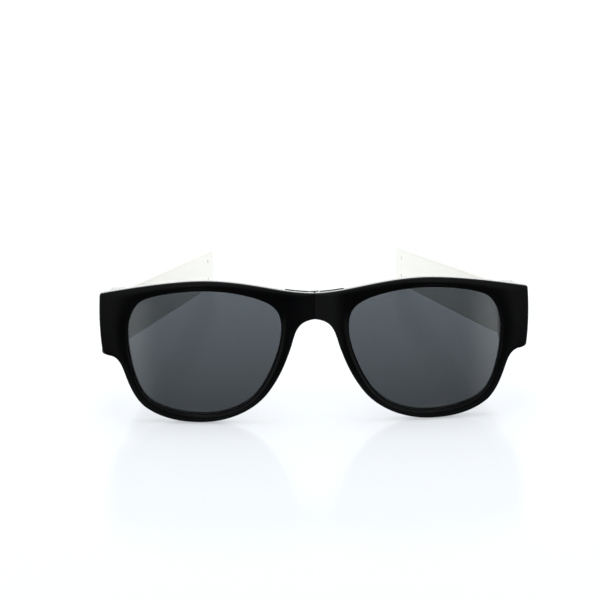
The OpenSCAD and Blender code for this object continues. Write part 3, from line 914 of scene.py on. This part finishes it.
noiseSpan = {"grain": (0.3, 0.7), "smear": (0.35, 0.65)}      # what of the noise is used
finishes = {
    "frame": {
        "colours": ((0.0016, 0.0017, 0.0019), (0.0023, 0.0024, 0.0027)), "drift": 60,
        "rough": (0.2, 0.26), "grain": 5200, "bump": 0.12, "depth": 0.00003,
        "sockets": {"Specular IOR Level": 0.038},
        # painted sheen on the bridge: a lighter black, stronger on the right half, in place of reflected
        # light
        "paintedSheen": {"colour": (0.0072, 0.0073, 0.0075), "seam": 0.00001, "leftShare": 0.3,
            "left": (-0.009, -0.001), "right": (0.005, 0.0105)},
    },
    "cover": {
        "colours": ((0.004, 0.0042, 0.0046), (0.006, 0.0063, 0.007)), "drift": 80,
        "rough": (0.4, 0.52), "grain": 4200, "bump": 0.15, "depth": 0.00003,
        "sockets": {"Specular IOR Level": 0.3},
    },
    "sleeve": {
        "colours": ((0.915, 0.907, 0.852), (0.935, 0.927, 0.872)), "drift": 45,
        "rough": (0.48, 0.62), "grain": 3600, "bump": 0.14, "depth": 0.00004,
        "sockets": {"Specular IOR Level": 0.15},
    },
    "hinge": {
        "colours": ((0.006, 0.006, 0.0065), (0.01, 0.01, 0.011)), "drift": 300,
        "rough": (0.24, 0.34), "grain": 9000, "bump": 0.12, "depth": 0.00001,
        "sockets": {"Specular IOR Level": 0.3},
    },
    "pin": {
        "colours": ((0.25, 0.255, 0.26), (0.33, 0.33, 0.335)), "drift": 400,
        "rough": (0.24, 0.38), "grain": 9000, "stretch": (1, 1, 8), "bump": 0.1, "depth": 0.00001,
        "sockets": {"Metallic": 1.0},
    },
    "screw": {
        "colours": ((0.1, 0.1, 0.103), (0.15, 0.15, 0.154)), "drift": 500,
        "rough": (0.3, 0.42), "grain": 8000, "bump": 0.08, "depth": 0.00001,
        "sockets": {"Metallic": 0.8},
    },
    "strip": {
        "colours": ((0.5, 0.5, 0.51), (0.62, 0.62, 0.63)), "drift": 60,
        "rough": (0.28, 0.42), "grain": 2200, "stretch": (1, 0.03, 1), "bump": 0.1, "depth": 0.00001,
        "sockets": {"Metallic": 1.0},
    },
    "rivet": {
        "colours": ((0.5, 0.5, 0.505), (0.58, 0.58, 0.585)), "drift": 500,
        "rough": (0.35, 0.5), "grain": 8000, "bump": 0.1, "depth": 0.00001,
        "sockets": {"Metallic": 0.6},
    },
}
glass = {
    "tints": ((0.0405, 0.0449, 0.0483), (0.0745, 0.084, 0.0922)),
    "heights": (0.004, 0.046),
    "rough": (0.0, 0.02),
    "smear": 50,
    "sockets": {"Transmission Weight": 1.0, "IOR": 1.585},
}
used = {name: grained(name + "Finish", g) for name, g in finishes.items()}
used["lens"] = smokedGlass("lensFinish", glass)
print("materials made")

# All pieces, left and right
rows = rowTree()
models = {
    "hinge": screwModel(hinge["screwLong"]),
    "cover": screwModel(cover["screwLong"]),
    "rivet": rivetModel(),
}
pair = {"Count": 2, "Spin": pi}
seeds = {"hinge": 4, "cover": 9, "rivet": 2}


def makeFront(side, name):
    moulding = frontHalf("frontMoulding" + name, seam["vee"][side])
    finishPiece(moulding, side, "front_" + side, used["frame"])
    finishPiece(lensPiece("smokedLens" + name), side, "lens_" + side, used["lens"])
    leaf = leafPiece("hingeLeaf" + name, 0 if side == "left" else 1)
    finishPiece(leaf, side, "hinge_leaf_" + side, used["hinge"])
    finishPiece(coverPiece("stubCover" + name), side, "stub_cover_" + side, used["cover"])


def makeScrews(side, name):
    first, last = (leafScrewPlace(z).to_translation() for z in leafScrewZ)
    screws = fastenerRow("hingeScrews" + name, rows, {
        **pair, "Fastener": models["hinge"], "Start": first, "Step": last - first,
        "Facing": (-pi / 2, 0, 0), "Seed": seeds["hinge"], "Finish": used["screw"]})
    finishPiece(screws, side, "hinge_screws_" + side, used["screw"])
    first, last = (coverScrewPlace(z).to_translation() for z in coverScrewZ)
    screws = fastenerRow("coverScrews" + name, rows, {
        **pair, "Fastener": models["cover"], "Start": first, "Step": last - first,
        "Facing": (0, -pi / 2, radians(stub["turn"])), "Seed": seeds["cover"], "Finish": used["screw"]})
    finishPiece(screws, side, "cover_screws_" + side, used["screw"])


def makeArm(side, name):
    start, step = rivetPlaces()
    rivets = fastenerRow("tipRivets" + name, rows, {
        **pair, "Fastener": models["rivet"], "Start": start, "Step": step,
        "Facing": (0, pi / 2, radians(arm["turn"])), "Seed": seeds["rivet"], "Finish": used["rivet"]})
    for piece, node, slotName, finish in (
            (sleevePiece("armSleeve" + name), "arm_sleeve_", "sleeve_cream", "sleeve"),
            (stripPiece("springStrip" + name), "spring_strip_", "strip_steel", "strip"),
            (rivets, "tip_rivets_", "rivet_dark", "rivet")):
        finishPiece(piece, side, node + side, used[finish])
        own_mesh(piece)


for side in ("left", "right"):
    for make in (makeFront, makeScrews, makeArm):
        make(side, side.capitalize())
    print(side, "half made")
finishPiece(pinPiece("hingePin"), "left", "hinge_pin", used["pin"])
for model in models.values():
    bpy.data.objects.remove(model)


# Studio: white all round, but for a dark room behind the camera
studio = {
    "level": 1.1,
    "white": (0.985, 0.995, 1.0),
    "dark": 0.01,
    "darkFrom": 18.0,       # degrees to either side of the way to the camera
    "darkTo": 22.6,
    "darkTurn": 1.2,
    "darkHigh": (0.15, 0.75),           # its top fades between these heights of the sky
    "sideGloss": 2.25,      # what gloss sees beside the dark room
    "backdrop": 3.45,       # and behind the glasses
    "backdropFar": (0.35, 0.85),        # it grows towards the rear
    "backdropHigh": (0.1, 0.5),         # and fades upwards
    "floor": (0.4, 0.416, 0.432),
    "floorRough": 0.16,
    "floorIor": 1.12,
    "floorGlow": (0.448, 0.463, 0.478),
    "floorBeyond": 0.92,                # more glow where it is seen through the lenses
    "floorReach": 4,
    "floorDark": (-0.13, -0.09),        # nearer than this, gloss sees a dark floor
    "standsOn": ("frontMouldingLeft", "frontMouldingRight"),
}
overhead = {"place": (0, 0.1, 0.9), "aim": (0, -0.02, 0), "size": 0.5, "power": 2.2}


def addWorld(s):
    world = bpy.data.worlds.new("studio")
    scene.world = world
    world.use_nodes = True
    tree = world.node_tree
    x, y, z = splitPlace(tree, "Generated")
    turn = mathNode(tree, "ARCTAN2", x, mathNode(tree, "MULTIPLY", y, -1.0))
    away = mathNode(tree, "ABSOLUTE", mathNode(tree, "SUBTRACT", turn, radians(s["darkTurn"])))
    aside = smooth(tree, away, (radians(s["darkFrom"]), radians(s["darkTo"])), (s["dark"], 1))
    above = smooth(tree, z, s["darkHigh"], (0, 1))
    room = mathNode(tree, "MAXIMUM", aside, above)
    behind = smooth(tree, y, s["backdropFar"], (0, 1))
    low = smooth(tree, z, s["backdropHigh"], (1, 0))
    bright = mathNode(tree, "MULTIPLY", mathNode(tree, "MULTIPLY", behind, low), s["backdrop"] - 1)
    rays = tree.nodes.new("ShaderNodeLightPath").outputs
    extra = mathNode(tree, "ADD", mathNode(tree, "MULTIPLY", room, s["sideGloss"] - 1), bright)
    gloss = mathNode(tree, "ADD", room, mathNode(tree, "MULTIPLY", extra, rays["Is Glossy Ray"]))
    lit = mathNode(tree, "MULTIPLY", gloss, s["level"])
    shown = mathNode(tree, "MAXIMUM", rays["Is Camera Ray"], rays["Is Transmission Ray"])
    strength = mathNode(tree, "MAXIMUM", lit, shown)
    tree.links.new(strength, tree.nodes["Background"].inputs["Strength"])
    hue = blendColour(tree, shown, s["white"], (1, 1, 1))
    tree.links.new(hue, tree.nodes["Background"].inputs["Color"])


def underTree(names):
    # lowers the floor to the lowest of these pieces, so that a half that folds doesn't sink in
    tree = bpy.data.node_groups.new("floorUnder", "GeometryNodeTree")
    for way in ("INPUT", "OUTPUT"):
        tree.interface.new_socket("Geometry", in_out=way, socket_type="NodeSocketGeometry")
    lowest = 0
    for name in names:
        info = tree.nodes.new("GeometryNodeObjectInfo")
        info.transform_space = "RELATIVE"
        info.inputs["Object"].default_value = bpy.data.objects[name]
        box = tree.nodes.new("GeometryNodeBoundBox")
        corner = tree.nodes.new("ShaderNodeSeparateXYZ")
        tree.links.new(info.outputs["Geometry"], box.inputs["Geometry"])
        tree.links.new(box.outputs["Min"], corner.inputs["Vector"])
        lowest = mathNode(tree, "MINIMUM", corner.outputs["Z"], lowest)
    shift = tree.nodes.new("ShaderNodeCombineXYZ")
    move = tree.nodes.new("GeometryNodeTransform")
    tree.links.new(lowest, shift.inputs["Z"])
    tree.links.new(shift.outputs["Vector"], move.inputs["Translation"])
    tree.links.new(tree.nodes.new("NodeGroupInput").outputs["Geometry"], move.inputs["Geometry"])
    tree.links.new(move.outputs["Geometry"], tree.nodes.new("NodeGroupOutput").inputs["Geometry"])
    return tree


def addFloor(s):
    made, tree, shader = newMaterial("floorWhite", {
        "Roughness": s["floorRough"], "IOR": s["floorIor"], "Emission Color": (*s["floorGlow"], 1)})
    far = smooth(tree, splitPlace(tree)["Y"], s["floorDark"], (0, 1))
    rays = tree.nodes.new("ShaderNodeLightPath").outputs
    direct = mathNode(tree, "SUBTRACT", 1.0, rays["Is Glossy Ray"])
    seen = mathNode(tree, "MAXIMUM", far, direct)
    tree.links.new(blendColour(tree, seen, (0, 0, 0), s["floor"]), shader.inputs["Base Color"])
    beyond = mathNode(tree, "MULTIPLY", rays["Is Transmission Ray"], s["floorBeyond"])
    tree.links.new(mathNode(tree, "ADD", seen, beyond), shader.inputs["Emission Strength"])
    r = s["floorReach"]
    mesh = bpy.data.meshes.new("floor")
    mesh.from_pydata([(-r, -r, 0), (r, -r, 0), (r, r, 0), (-r, r, 0)], [], [(0, 1, 2, 3)])
    mesh.materials.append(made)
    floor = bpy.data.objects.new("floor", mesh)
    scene.collection.objects.link(floor)
    floor.modifiers.new("under", "NODES").node_group = underTree(s["standsOn"])


def addLamp(name, lamp):
    data = bpy.data.lights.new(name, "AREA")
    data.shape = "DISK"
    data.size = lamp["size"]
    data.energy = lamp["power"]
    light = bpy.data.objects.new(name, data)
    light.location = lamp["place"]
    light.rotation_mode = "QUATERNION"
    light.rotation_quaternion = (Vector(lamp["aim"]) - Vector(lamp["place"])).to_track_quat("-Z", "Y")
    scene.collection.objects.link(light)


addWorld(studio)
addFloor(studio)
addLamp("overhead", overhead)
scene.view_settings.view_transform = "Standard"
print("studio made")
